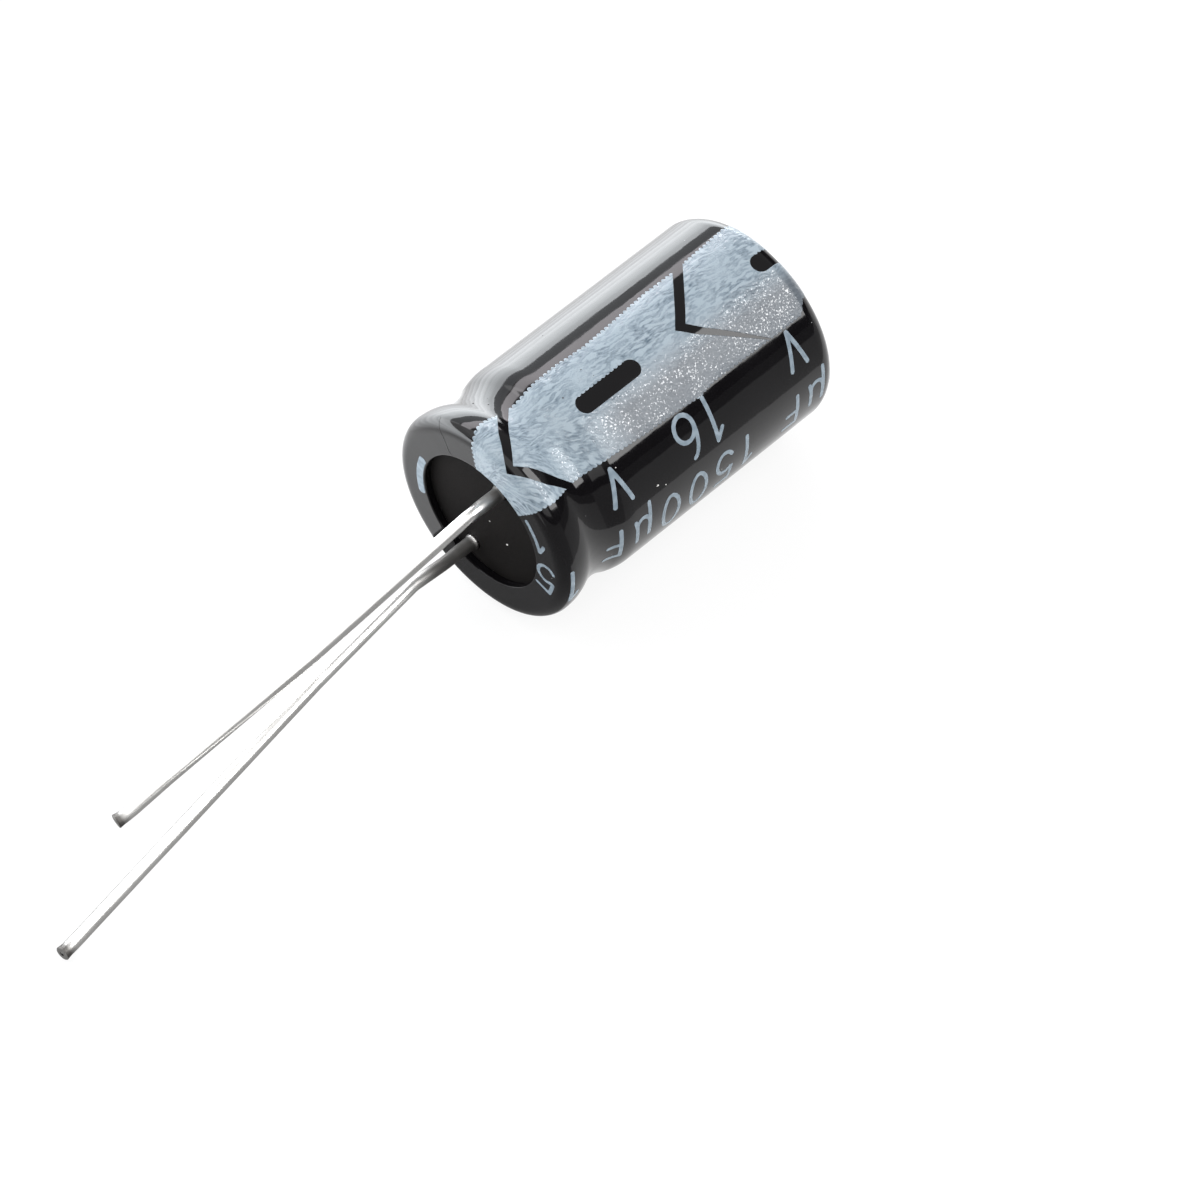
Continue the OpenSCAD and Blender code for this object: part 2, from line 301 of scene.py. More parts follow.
def film_outline():
    """The sleeve's outside as (radius, x) points, from its edge at the seal to its edge at the vent."""
    d = sleeve_t
    return np.vstack([
        [[seal_open_r, tuck_depth]],
        arc((seal_open_r + tuck_round, tuck_round), tuck_round, 180, 270, tuck_steps),
        arc((can_r - lip_round, sleeve_t + lip_round), lip_round + d, -90, 0),
        arc((can_r - shoulder_r, bead_x - bead_half), shoulder_r + d, 0, bead_turn),
        arc((can_r - bead_depth + hollow_r, bead_x), hollow_r - d, 180 + bead_turn, 180 - bead_turn),
        arc((can_r - shoulder_r, bead_x + bead_half), shoulder_r + d, -bead_turn, 0),
        arc((can_r - base_round, base_x - base_round), base_round + d, 0, 90),
        [[vent_open_r, body_l]],
    ])


outline = film_outline()
outline_s = np.r_[0, np.cumsum(np.hypot(*np.diff(outline, axis=0).T))]
outline_s = outline_s - tuck_l
film_l = outline_s[-1]
table_s = np.linspace(-tuck_l, film_l, outline_samples)
table_r = np.interp(table_s, outline_s, outline[:, 0])
table_x = np.interp(table_s, outline_s, outline[:, 1])
slope_r = np.gradient(table_r, table_s)
slope_x = np.gradient(table_x, table_s)


def on_film(s, turn, height):
    """Points at the length s along the film, at an angle round it and a height over its datum."""
    radius = np.interp(s, table_s, table_r) + np.interp(s, table_s, slope_x) * height
    x = np.interp(s, table_s, table_x) - np.interp(s, table_s, slope_r) * height
    angle = np.radians(turn)
    return np.stack([x + 0 * angle, radius * np.cos(angle), radius * np.sin(angle)], -1)


# How the shrunk film departs from a true surface: waves, gathers in the bead and a crest over the lip.
film_waves = [{"along": 3.1, "around": 11, "seed": 3, "height": 0.0035},
              {"along": 0.9, "around": 37, "seed": 5, "height": 0.0009}]
gathers = {"along": 1.6, "around": 90, "seed": 8, "height": 0.0016, "middle": 3.9, "width": 1.1}
crest = {"height": 0.011, "width": 0.075, "turn": 110, "reach": 32, "least": 0.25,
         "along": 9, "around": 14, "seed": 9, "sway": 0.2}
crest_line = [(0, 1.95), (71.8, 1.9), (94.8, 2.03), (103.2, 2.35), (115, 2.35), (137, 2.4), (200, 2.1),
              (360, 1.95)]
calm_edge = 0.3


def film_wave(s, turn, wave):
    return noise(s / wave["along"], turn / 360 * wave["around"], wave["seed"], wave["around"])


def film_relief(s, turn):
    """The height of the film over a true surface. It is nil at the film's edge at the seal."""
    height = sum(wave["height"] * film_wave(s, turn, wave) for wave in film_waves)
    gathered = bump(s, gathers["middle"], gathers["width"])
    height = height + gathers["height"] * film_wave(s, turn, gathers) * gathered
    crest_s = np.interp(turn % 360, *zip(*crest_line))
    shown = crest["least"] + (1 - crest["least"]) * bump(turn % 360, crest["turn"], crest["reach"])
    swayed = 1 - crest["sway"] + crest["sway"] * film_wave(s, turn, crest)
    height = height + crest["height"] * bump(s, crest_s, crest["width"]) * shown * swayed
    return height * np.clip(s / calm_edge, 0, 1)


# Meshes

def added(name, data):
    """A new object in the scene."""
    obj = bpy.data.objects.new(name, data)
    bpy.context.scene.collection.objects.link(obj)
    return obj


def make_mesh(name, points, faces, smooth=True):
    """A mesh object from points in millimetres."""
    mesh = bpy.data.meshes.new(name)
    mesh.from_pydata((np.asarray(points) * MM).tolist(), [], [list(map(int, f)) for f in faces])
    mesh.validate()
    mesh.polygons.foreach_set("use_smooth", [smooth] * len(mesh.polygons))
    mesh.update()
    return added(name, mesh)


def grid_faces(rows, columns, wrap_rows=False, wrap_columns=False):
    i = np.arange(rows if wrap_rows else rows - 1)
    j = np.arange(columns if wrap_columns else columns - 1)
    i, j = np.meshgrid(i, j, indexing="ij")
    up = (i + 1) % rows
    on = (j + 1) % columns
    corners = [i * columns + j, up * columns + j, up * columns + on, i * columns + on]
    return np.stack(corners, -1).reshape(-1, 4)


def set_point_values(obj, name, values):
    """Stores one number for each point of a mesh, for its material to read."""
    layer = obj.data.attributes.new(name, "FLOAT", "POINT")
    layer.data.foreach_set("value", np.asarray(values, np.float32))


def add_piece(obj, nodes, material):
    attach(obj, "root")
    if nodes:
        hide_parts(*nodes)
    obj.data.materials.append(material)
    return obj


def clip_grid(s, turn, inside):
    """The part of a grid where inside is above 0, with its edge cut where inside crosses 0.
    Returns the kept points as rows of (s, turn) and the faces."""
    rows, columns = inside.shape
    flat = np.stack([s.ravel(), turn.ravel()], 1)
    value = inside.ravel()
    cells = grid_faces(rows, columns)
    count = (value[cells] > 0).sum(1)
    points = [flat]
    faces = cells[count == 4].tolist()
    made = {}
    extra = []

    def crossing(a, b):
        key = (min(a, b), max(a, b))
        if key not in made:
            share = value[a] / (value[a] - value[b])
            made[key] = len(flat) + len(extra)
            extra.append(flat[a] + share * (flat[b] - flat[a]))
        return made[key]

    for cell in cells[(count > 0) & (count < 4)].tolist():
        face = []
        for a, b in zip(cell, cell[1:] + cell[:1]):
            if value[a] > 0:
                face.append(a)
            if (value[a] > 0) != (value[b] > 0):
                face.append(crossing(a, b))
        faces.append(face)
    if extra:
        points.append(np.array(extra))
    points = np.vstack(points)
    used = np.unique(np.concatenate([np.array(f) for f in faces]))
    renumber = np.full(len(points), -1)
    renumber[used] = np.arange(len(used))
    return points[used], [renumber[f].tolist() for f in faces]


def open_edges(faces):
    """The edges that only one face uses, each in its face's direction."""
    seen = {}
    for face in faces:
        for a, b in zip(face, face[1:] + face[:1]):
            key = (min(a, b), max(a, b))
            seen[key] = None if key in seen else (a, b)
    return [edge for edge in seen.values() if edge]


def ink_piece(name, s, turn, inside, relief):
    """A layer of ink, thinner than the film, on the film wherever inside is above 0."""
    places, faces = clip_grid(s, turn, inside)
    base = film_level + film_relief(places[:, 0], places[:, 1])
    ridge = relief(places[:, 0], places[:, 1])
    top = on_film(places[:, 0], places[:, 1], base + ink_t + ink_relief * ridge)
    edges = open_edges(faces)
    rim = sorted({p for edge in edges for p in edge})
    lowered = {p: len(top) + k for k, p in enumerate(rim)}
    under = on_film(places[rim, 0], places[rim, 1], base[rim] - ink_t)
    skirt = [[b, a, lowered[a], lowered[b]] for a, b in edges]
    obj = make_mesh(name, np.vstack([top, under]), faces + skirt)
    set_point_values(obj, "ridge", np.r_[ridge, ridge[rim]])
    # Painted shade: darker ink towards the band's lower edge, stored for the material.
    painted_shade = np.clip((places[:, 1] - shade_turns[0]) / (shade_turns[1] - shade_turns[0]), 0, 1)
    painted_shade = np.where(places[:, 1] < shade_turns[2], painted_shade, 0)
    painted_shade = painted_shade * np.clip((places[:, 0] - shade_from) / shade_over, 0, 1)
    set_point_values(obj, "painted_shade", np.r_[painted_shade, painted_shade[rim]])
    return obj


# The print

def capsule(s, b, s_at, b_at, straight, radius):
    """Distance outside a bar with round ends that lies along the film."""
    off = np.maximum(np.abs(s - s_at) - straight / 2, 0)
    return np.hypot(off, b - b_at) - radius


def chevron(s, b, sides):
    """Distance outside one chevron line."""
    turn = np.degrees(b / seat_r)
    outer, inner = [np.interp(turn, *zip(*[(a, e) for e, a in sides[side]]))
                    for side in ("outer", "inner")]
    return np.maximum(outer - s, s - inner) * chevron_lean


def teeth(s):
    """Rounded nubs along an edge of the ink."""
    return tooth_depth * (np.sqrt(np.abs(np.cos(np.pi * s / tooth_pitch))) - tooth_level)


def girth(turn):
    """Length round the sleeve's wall at an angle."""
    return np.radians(turn) * seat_r


def print_grid(first, last):
    """A grid of places on the film between two angles."""
    rows = int(film_l / ink_cell)
    columns = int(girth(last - first) / ink_cell)
    s = np.linspace(grid_margin, film_l - grid_margin, rows)
    turn = np.linspace(first, last, columns)
    return np.meshgrid(s, turn, indexing="ij")


def band_inside(s, turn):
    """How deep a place lies inside the polarity band's ink."""
    b = girth(turn)
    upper = girth(np.interp(s, *zip(*upper_edge)))
    lower = girth(np.interp(s, *zip(*lower_edge)))
    inside = np.minimum(b - upper + teeth(s), lower - b + lower_tooth * teeth(s))
    inside = np.minimum(inside, np.minimum(s, film_l - s) - band_margin)
    for sides in chevrons:
        inside = np.minimum(inside, chevron(s, b, sides))
    for bar in bars:
        at = girth(bar["turn"])
        outside = capsule(s, b, bar["s"], at, bar["straight"], bar_r)
        toothed = (b < at) & (np.abs(s - bar["s"]) < bar["straight"] / 2)
        inside = np.minimum(inside, outside + np.where(toothed, bar_tooth * teeth(s), 0))
    return inside


# The ink's furrows: (lean, seed) of each way they run, their cells along and across, how they drift
# aside and how much each part counts.
furrow_ways = [(4, 31), (36, 41), (58, 51)]
long_furrow = (0.62, 0.17)
short_furrow = (0.34, 0.085)
furrow_drifts = [{"depth": 0.13, "cell": 0.9, "seed": 1}, {"depth": 0.04, "cell": 0.3, "seed": 2}]
short_seed = 3
crease_gain = 2.6
crease_short = 0.25
furrow_mix = {"level": 0.36, "crease": 0.45, "long": 0.55, "short": 0.5}

# Where the furrows turn from one way to the next, and where they are calm.
turning = {"turn": 92, "over": 34, "s": 3.5, "along": 9, "sway": 0.55}
sways = [{"depth": 1, "cell": 1.3, "seed": 27}, {"depth": 0.5, "cell": 0.5, "seed": 28}]
calm = {"along": 2.1, "across": 1.2, "seed": 29, "level": 0.9, "gain": 0.6, "least": 0.35, "most": 1.15}
ink_grain = {"cell": 0.07, "seed": 25, "share": 0.12}
smooth_grain = {"cell": 0.3, "seed": 26, "depth": 0.2, "level": 0.45}


def strokes(s, b, lean, seed):
    """Long furrows that run one way, from 0 in a furrow to 1 beside it."""
    tilt = math.radians(lean)
    along = s * math.cos(tilt) + b * math.sin(tilt)
    across = b * math.cos(tilt) - s * math.sin(tilt)
    for part in furrow_drifts:
        across = across + part["depth"] * noise(s / part["cell"], b / part["cell"], seed + part["seed"])
    fold = noise(along / long_furrow[0], across / long_furrow[1], seed)
    small = noise(along / short_furrow[0], across / short_furrow[1], seed + short_seed)
    crease = np.clip(np.abs(fold + crease_short * small) * crease_gain, 0, 1)
    depth = furrow_mix["level"] + furrow_mix["crease"] * crease
    return np.clip(depth + furrow_mix["long"] * fold + furrow_mix["short"] * small, 0, 1)


def ink_wrinkles(s, turn):
    """Feathery wrinkles of the ink, from 0 in a furrow to 1 on a fold."""
    b = girth(turn)
    flat, tilted, steep = [strokes(s, b, lean, seed) for lean, seed in furrow_ways]
    sway = sum(part["depth"] * noise(s / part["cell"], b / part["cell"], part["seed"]) for part in sways)
    share = (turn - turning["turn"]) / turning["over"] + (turning["s"] - s) / turning["along"]
    share = np.clip(share + turning["sway"] * sway, 0, 1)
    first = np.clip(2 * share, 0, 1)
    second = np.clip(2 * share - 1, 0, 1)
    depth = flat * (1 - first) + (tilted * (1 - second) + steep * second) * first
    calmed = calm["level"] + calm["gain"] * noise(s / calm["along"], b / calm["across"], calm["seed"])
    depth = 1 - (1 - depth) * np.clip(calmed, calm["least"], calm["most"])
    grain = noise(s / ink_grain["cell"], b / ink_grain["cell"], ink_grain["seed"])
    return np.clip((1 - ink_grain["share"]) * depth + ink_grain["share"] * (0.5 + grain), 0, 1)


def smooth_ink(s, turn):
    b = girth(turn)
    grain = noise(s / smooth_grain["cell"], b / smooth_grain["cell"], smooth_grain["seed"])
    return smooth_grain["level"] + smooth_grain["depth"] * grain


def oval(width, height, start=0, end=360, at=(0, 0)):
    angle = np.radians(np.linspace(start, end, 19))
    return [(at[0] + width / 2 * math.cos(a), at[1] + height / 2 * math.sin(a)) for a in angle]


# Plain figures as strokes in a box from -0.5 to 0.5 across and 0 to 1 up.
figure_strokes = {
    "0": [oval(1, 1, at=(0, 0.5))],
    "1": [[(-0.25, 0.78), (0.1, 1), (0.1, 0)]],
    "5": [[(0.42, 1), (-0.34, 1), (-0.42, 0.56)] + oval(1, 0.62, 128, -150, (0, 0.31))],
    "6": [oval(1, 0.58, at=(0, 0.29)), oval(1, 1.42, 180, 97, (0, 0.29))],
    "C": [oval(1, 1, 45, 315, (0, 0.5))],
    "I": [[(0, 0), (0, 1)]],
    "V": [[(-0.55, 1), (0, 0), (0.55, 1)]],
    "F": [[(-0.4, 0), (-0.4, 1), (0.5, 1)], [(-0.4, 0.52), (0.34, 0.52)]],
    "u": [[(-0.5, -0.3), (-0.42, 0.66)], oval(0.76, 0.4, 180, 360, (-0.04, 0.2)),
          [(-0.42, 0.66), (-0.42, 0.2)], [(0.34, 0.66), (0.34, 0.2)], [(0.34, 0.2), (0.42, 0)]],
}

# Each row: the angle of its foot, its height, its stroke and (figure, place along the film, height share).
figure_rows = [
    {"foot": 139, "height": 2.2, "stroke": 0.21, "row": [("1", 11.28, 1), ("6", 9.7, 1), ("V", 5.62, 0.8)]},
    {"foot": 174, "height": 2.0, "stroke": 0.2,
     "row": [("1", 12.86, 1), ("5", 11.4, 1), ("0", 9.78, 1), ("0", 8.1, 1), ("u", 6.35, 1),
             ("F", 4.84, 0.88)]},
    {"foot": 346, "height": 3.0, "stroke": 0.4,
     "row": [("I", 11.06, 1), ("0", 9.0, 1), ("5", 6.8, 1), ("C", 3.4, 1)]},
]


def segment_distance(s, b, start, end):
    way = np.subtract(end, start)
    share = ((s - start[0]) * way[0] + (b - start[1]) * way[1]) / max(way @ way, 1e-9)
    share = np.clip(share, 0, 1)
    return np.hypot(s - start[0] - share * way[0], b - start[1] - share * way[1])


def figure_inside(s, b, figure, s_at, b_at, height, stroke_w):
    """How deep a place lies inside one figure, which reads towards the seal."""
    inside = np.full(s.shape, -1.0)
    near = (np.abs(s - s_at) < height) & (np.abs(b - b_at - height / 2) < height)
    if not near.any():
        return inside
    for stroke in figure_strokes[figure]:
        spots = [(s_at - x * height * digit_aspect, b_at + y * height) for x, y in stroke]
        for start, end in zip(spots, spots[1:]):
            depth = stroke_w / 2 - segment_distance(s[near], b[near], start, end)
            inside[near] = np.maximum(inside[near], depth)
    return inside


def figures_inside(s, turn, line):
    inside = np.full(s.shape, -1.0)
    b = girth(turn)
    for figure, s_at, share in line["row"]:
        for shift in (-print_pitch, 0, print_pitch):
            depth = figure_inside(s, b, figure, s_at + shift, girth(line["foot"]),
                                  line["height"] * share, line["stroke"])
            inside = np.maximum(inside, depth)
    return np.minimum(inside, np.minimum(s, film_l - s) - figure_margin)


# Materials

# Pairs of colours that a material mixes, and single ones.
film_colours = ((0.0028, 0.0025, 0.003), (0.0048, 0.0044, 0.0052))
film_dust = (0.30, 0.30, 0.31)
ink_folds = ((0.285, 0.35, 0.4), (0.345, 0.405, 0.455))
# The furrows' colour: the ink's own mottle, darkened with painted shade.
ink_furrow_mottle_and_shade = ((0.07, 0.105, 0.14), (0.11, 0.15, 0.19))
# Painted shade for the ink's lower part.
ink_painted_shade = (0.085, 0.092, 0.105)
tin_colours = ((0.80, 0.79, 0.77), (0.93, 0.92, 0.90))
# Painted shade on the wires' roots and tips, and the colour of the uncoated cut face.
wire_shade_and_bare = (0.09, 0.085, 0.08)
rubber_colours = ((0.007, 0.0065, 0.0065), (0.012, 0.0105, 0.01))
paper_colours = ((0.55, 0.50, 0.40), (0.76, 0.72, 0.62))
tape_colours = ((0.50, 0.33, 0.10), (0.62, 0.44, 0.18))
pale_grain = (0.75, 0.74, 0.72)
dark_grain = (0.01, 0.01, 0.01)

# Bare metals: colours, roughness, lines in a millimetre and how the lines stretch.
metals = {
    "can_aluminium": ((0.44, 0.45, 0.47), (0.56, 0.57, 0.58), 0.34, 2, (1, 3, 1)),
    "tab_aluminium": ((0.74, 0.75, 0.76), (0.84, 0.85, 0.86), 0.35, 3, (0.2, 1, 1)),
    "anode_foil": ((0.38, 0.40, 0.42), (0.50, 0.52, 0.54), 0.6, 6, (0.5, 1, 1)),
    "cathode_foil": ((0.60, 0.61, 0.62), (0.72, 0.73, 0.74), 0.45, 5, (0.5, 1, 1)),
}

# Between these a noise texture varies most.
cloud_span = (0.3, 0.7)

# The ink's facets glint past this much of their noise: at the first rough and weak, at the second clear.
glint_span = (0.715, 0.775)
glint_rough = (0.24, 0.12)
ink_index = 1.36
glint_index = {True: 2.1, False: 1.4}
ink_grain_depth = {True: 0.007, False: 0.002}


def fill(node, **values):
    """Sets a node's inputs, with underscores for the spaces in their names."""
    for name, value in values.items():
        node.inputs[name.replace("_", " ")].default_value = value


class Nodes:
    """A node tree, with short ways to add and join nodes."""

    def __init__(self, user):
        user.use_nodes = True
        self.tree = user.node_tree

    def node(self, kind, **values):
        node = self.tree.nodes.new("ShaderNode" + kind)
        for key, value in values.items():
            setattr(node, key, value)
        return node

    def join(self, source, target):
        self.tree.links.new(source, target)

    def place(self, kind="Object"):
        return self.node("TexCoord").outputs[kind]

    def stretched(self, place, scale):
        mapping = self.node("Mapping")
        fill(mapping, Scale=scale)
        self.join(place, mapping.inputs["Vector"])
        return mapping.outputs["Vector"]

    def cloud(self, place, scale, detail=3, roughness=0.55):
        cloud = self.node("TexNoise")
        fill(cloud, Scale=scale, Detail=detail, Roughness=roughness)
        self.join(place, cloud.inputs["Vector"])
        return cloud.outputs["Fac"]

    def spread(self, value, low, high, to_low=0.0, to_high=1.0):
        spread = self.node("MapRange")
        fill(spread, From_Min=low, From_Max=high, To_Min=to_low, To_Max=to_high)
        self.join(value, spread.inputs["Value"])
        return spread.outputs["Result"]

    def mixed(self, share, first, second):
        """A colour between two colours or colour sockets."""
        mix = self.node("Mix", data_type="RGBA")
        self.join(share, mix.inputs["Factor"])
        for socket, colour in ((mix.inputs[6], first), (mix.inputs[7], second)):
            if isinstance(colour, tuple):
                socket.default_value = (*colour, 1)
            else:
                self.join(colour, socket)
        return mix.outputs[2]

    def maths(self, operation, *terms):
        """What one operation makes of sockets and numbers."""
        maths = self.node("Math", operation=operation)
        for socket, term in zip(maths.inputs, terms):
            if isinstance(term, float):
                socket.default_value = term
            else:
                self.join(term, socket)
        return maths.outputs[0]

    def raised(self, height, distance, under=None):
        bumped = self.node("Bump")
        fill(bumped, Distance=distance * MM, Strength=1.0)
        self.join(height, bumped.inputs["Height"])
        if under:
            self.join(under, bumped.inputs["Normal"])
        return bumped.outputs["Normal"]


class Shader(Nodes):
    """A material's node tree, with the values of its surface."""

    def __init__(self, name, **sockets):
        self.material = bpy.data.materials.new(name)
        super().__init__(self.material)
        self.surface = self.tree.nodes["Principled BSDF"]
        fill(self.surface, **sockets)

    def set(self, **sources):
        for socket, source in sources.items():
            self.join(source, self.surface.inputs[socket.replace("_", " ")])
        return self.material


def per_mm(cells):
    """A texture's scale in object coordinates for so many cells in a millimetre."""
    return cells / MM


def film_material():
    """Glossy black shrink film, with a faint orange peel and specks of dust."""
    shader = Shader("sleeve_film", Roughness=0.07, IOR=1.42)
    place = shader.place()
    peel = shader.cloud(place, per_mm(1.4), 2)
    smear = shader.cloud(place, per_mm(0.5), 4)
    speck = shader.node("TexVoronoi", feature="F1")
    fill(speck, Scale=per_mm(1.1))
    shader.join(place, speck.inputs["Vector"])
    dust = shader.spread(speck.outputs["Distance"], 0.035, 0.02)
    colour = shader.mixed(smear, *film_colours)
    colour = shader.mixed(dust, colour, film_dust)
    rough = shader.spread(smear, 0.35, 0.75, 0.05, 0.1)
    return shader.set(Base_Color=colour, Roughness=rough, Normal=shader.raised(peel, 0.0035))


def ink_material(name, wrinkled):
    """Blue-grey ink under the film's gloss, with painted shade on the band's lower part. Furrows are darker
    than folds, partly the ink's own mottle and partly painted shade, and small facets glint.
    """
    shader = Shader(name)
    place = shader.place()
    ridge = shader.node("Attribute", attribute_name="ridge").outputs["Fac"]
    painted_shade = shader.node("Attribute", attribute_name="painted_shade").outputs["Fac"]
    blotch = shader.cloud(place, per_mm(0.9), 3)
    fibre = shader.cloud(place, per_mm(14), 2)
    facet = shader.cloud(place, per_mm(12), 2)
    pale = shader.mixed(blotch, *ink_folds)
    deep = shader.mixed(fibre, *ink_furrow_mottle_and_shade)
    # Furrows darker than folds: partly the ink's own mottle, partly painted shade.
    colour = shader.mixed(shader.spread(ridge, 0.06, 0.78), deep, pale)
    # Painted shade darkens the ink's lower part.
    colour = shader.mixed(shader.spread(painted_shade, 0, 1, 0, 0.8), colour, ink_painted_shade)
    glint = shader.maths("MULTIPLY_ADD", shader.cloud(place, per_mm(1.3), 2), 0.25, facet)
    rough = shader.spread(glint, *glint_span, *glint_rough)
    index = shader.spread(glint, *glint_span, ink_index, glint_index[wrinkled])
    normal = shader.raised(fibre, ink_grain_depth[wrinkled])
    return shader.set(Base_Color=colour, Roughness=rough, IOR=index, Normal=normal)


def wire_material():
    """Bright tin on drawn wire, with fine lines along it and duller patches. A painted dark reflection
    darkens its root at the seal, painted shade darkens its tip, and its cut face is uncoated steel.
    """
    shader = Shader("tin_plate", Metallic=1.0)
    place = shader.place("UV")
    shade_and_bare = shader.node("Attribute", attribute_name="shade_and_bare").outputs["Fac"]
    lines = shader.cloud(shader.stretched(place, (0.25, 22, 1)), 1, 3)
    patches = shader.cloud(shader.stretched(place, (0.8, 2, 1)), 1, 4)
    pits = shader.cloud(shader.place(), per_mm(9), 2)
    colour = shader.mixed(patches, *tin_colours)
    # Painted shade: darker at the wire's root and tip, and on the uncoated cut face.
    colour = shader.mixed(shade_and_bare, colour, wire_shade_and_bare)
    bright_rough = shader.spread(patches, *cloud_span, 0.24, 0.34)
    rough = shader.maths("MULTIPLY_ADD", shade_and_bare, 0.3, bright_rough)
    normal = shader.raised(pits, 0.002, under=shader.raised(lines, 0.004))
    return shader.set(Base_Color=colour, Roughness=rough, Normal=normal)


def rubber_material():
    """Matt black rubber with a fine grain and warm dust."""
    shader = Shader("seal_rubber", IOR=1.4, Specular_IOR_Level=0.06)
    place = shader.place()
    grain = shader.cloud(place, per_mm(18), 3)
    cloud = shader.cloud(place, per_mm(0.6), 4)
    colour = shader.mixed(cloud, *rubber_colours)
    rough = shader.spread(grain, *cloud_span, 0.5, 0.7)
    return shader.set(Base_Color=colour, Roughness=rough, Normal=shader.raised(grain, 0.01))


def metal_material(name):
    """Bare aluminium with fine lines in one direction."""
    dark, light, rough, scale, stretch = metals[name]
    shader = Shader(name, Metallic=1.0)
    place = shader.stretched(shader.place(), stretch)
    lines = shader.cloud(place, per_mm(scale), 4)
    colour = shader.mixed(lines, dark, light)
    roughness = shader.spread(lines, *cloud_span, rough * 0.8, rough * 1.2)
    return shader.set(Base_Color=colour, Roughness=roughness, Normal=shader.raised(lines, 0.003))


def paper_material():
    """Electrolyte-soaked tissue with long fibres."""
    shader = Shader("separator_paper", Roughness=0.7)
    fibres = shader.cloud(shader.stretched(shader.place(), (0.3, 1, 1)), per_mm(7), 4)
    colour = shader.mixed(fibres, *paper_colours)
    return shader.set(Base_Color=colour, Normal=shader.raised(fibres, 0.01))


def plain_material(name, colour, rough):
    """One colour with a fine unevenness."""
    shader = Shader(name)
    cloud = shader.cloud(shader.place(), per_mm(20), 2)
    darker = tuple(0.7 * c for c in colour)
    rougher = shader.spread(cloud, *cloud_span, rough, rough + 0.1)
    return shader.set(Base_Color=shader.mixed(cloud, darker, colour), Roughness=rougher)


def tape_material():
    """Amber closing film."""
    shader = Shader("closing_film", Roughness=0.25, IOR=1.5)
    streaks = shader.cloud(shader.stretched(shader.place(), (3, 1, 1)), per_mm(1), 3)
    colour = shader.mixed(streaks, *tape_colours)
    return shader.set(Base_Color=colour, Normal=shader.raised(streaks, 0.002))


# The pieces

def make_sleeve(material):
    """The film as a closed skin: its outside, its rounded edges and its inside."""
    stations = np.r_[tuck_rings, np.linspace(plain_from, film_l, int(film_l / film_cell_along))]
    turn = np.arange(film_columns) * 360 / film_columns
    s, turn = np.meshgrid(stations, turn, indexing="ij")
    rings = [on_film(s, turn, film_level + film_relief(s, turn))]
    skin = np.interp(stations, (tuck_round, 4 * tuck_round), (tuck_skin, film_skin))
    fine, last = len(tuck_rings) - 1, len(stations) - 1
    inner = np.r_[0:fine, fine:last:2, last][::-1]
    for end, angles in ((-1, rim_turns), (0, rim_turns[::-1])):
        if end == 0:
            rings.append(on_film(s[inner], turn[inner], film_level - skin[inner, None]))
        half = skin[end] / 2
        for angle in np.pi * np.array(angles):
            past = half * math.sin(angle) * (1 if end else -1)
            height = film_level - half + half * math.cos(angle)
            rim = on_film(s[end], turn[end], height)
            ahead_x, ahead_r = [np.interp(stations[end], table_s, slope) for slope in (slope_x, slope_r)]
            radial = np.radians(turn[end])
            ahead = [ahead_x + 0 * radial, ahead_r * np.cos(radial), ahead_r * np.sin(radial)]
            rings.append((rim + past * np.stack(ahead, -1))[None])
    points = np.concatenate(rings)
    faces = grid_faces(len(points), film_columns, wrap_rows=True, wrap_columns=True)
    obj = make_mesh("shrink_sleeve", points.reshape(-1, 3), faces)
    return add_piece(obj, ["sleeve"], material)


def make_band(material):
    s, turn = print_grid(*band_turns)
    obj = ink_piece("polarity_print", s, turn, band_inside(s, turn), ink_wrinkles)
    return add_piece(obj, ["polarity_band"], material)


def make_figures(material):
    for index, line in enumerate(figure_rows):
        s, turn = print_grid(*[line["foot"] + side for side in figure_turns])
        obj = ink_piece(f"rating_print_{index}", s, turn, figures_inside(s, turn, line), smooth_ink)
        add_piece(obj, [], material)


def make_bung(material):
    """The frame's seal, turned so that its wires leave where they do in the photograph."""
    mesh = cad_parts["bung"].data.copy()
    mesh.transform(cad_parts["bung"].matrix_world)
    mesh.transform(Matrix.Rotation(math.radians(lead_angle - frame_lead_angle), 4, "X"))
    mesh.materials.clear()
    return add_piece(added("turned_bung", mesh), ["bung"], material)


def route_points(angle, route):
    """A lead's route in the frame: out of the seal along the can, then down to the surface."""
    root_y = pitch_r * math.cos(math.radians(angle))
    root_z = pitch_r * math.sin(math.radians(angle))
    fall = floor_z + wire_r - root_z
    points = [Vector((post_x, root_y, root_z)), Vector((-wire_exit, root_y, root_z))]
    for x, y, fallen in zip(route["x"], route["y"], route["fall"]):
        points.append(Vector((-x, y, root_z + fallen * fall)))
    return points


def rounded_path(points, radius, step=0.1):
    """The route with a true bend at each inner point, as points a short step apart."""
    corners = [points[0]]
    for before, at, after in zip(points, points[1:], points[2:]):
        ahead = (at - before).normalized()
        away = (after - at).normalized()
        angle = ahead.angle(away)
        setback = radius * math.tan(angle / 2)
        middle = at + (away - ahead).normalized() * radius / math.cos(angle / 2)
        start = at - ahead * setback - middle
        axis = ahead.cross(away)
        steps = max(3, int(angle * radius / step))
        for i in range(steps + 1):
            corners.append(middle + Matrix.Rotation(angle * i / steps, 3, axis) @ start)
    corners.append(points[-1])
    path = [corners[0]]
    for a, b in zip(corners, corners[1:]):
        pieces = max(1, round((b - a).length / step))
        path += [a.lerp(b, (i + 1) / pieces) for i in range(pieces)]
    return path


def lead_radius(length, total, flare):
    """The wire's radius along it: a collar in the hole, a swollen root and a flared, cropped tip."""
    out = length - (post_x - bung_face)
    radius = wire_r * (1 + wire_wave["depth"] * math.sin(wire_wave["rate"] * length))
    radius += collar["height"] * math.exp(-((out - collar["x"]) / collar["width"]) ** 2)
    radius += root["height"] * (1 - math.tanh((out - root["x"]) / root["width"]))
    radius += flare * max(0, 1 - (total - length) / flare_l) ** flare_power
    return radius


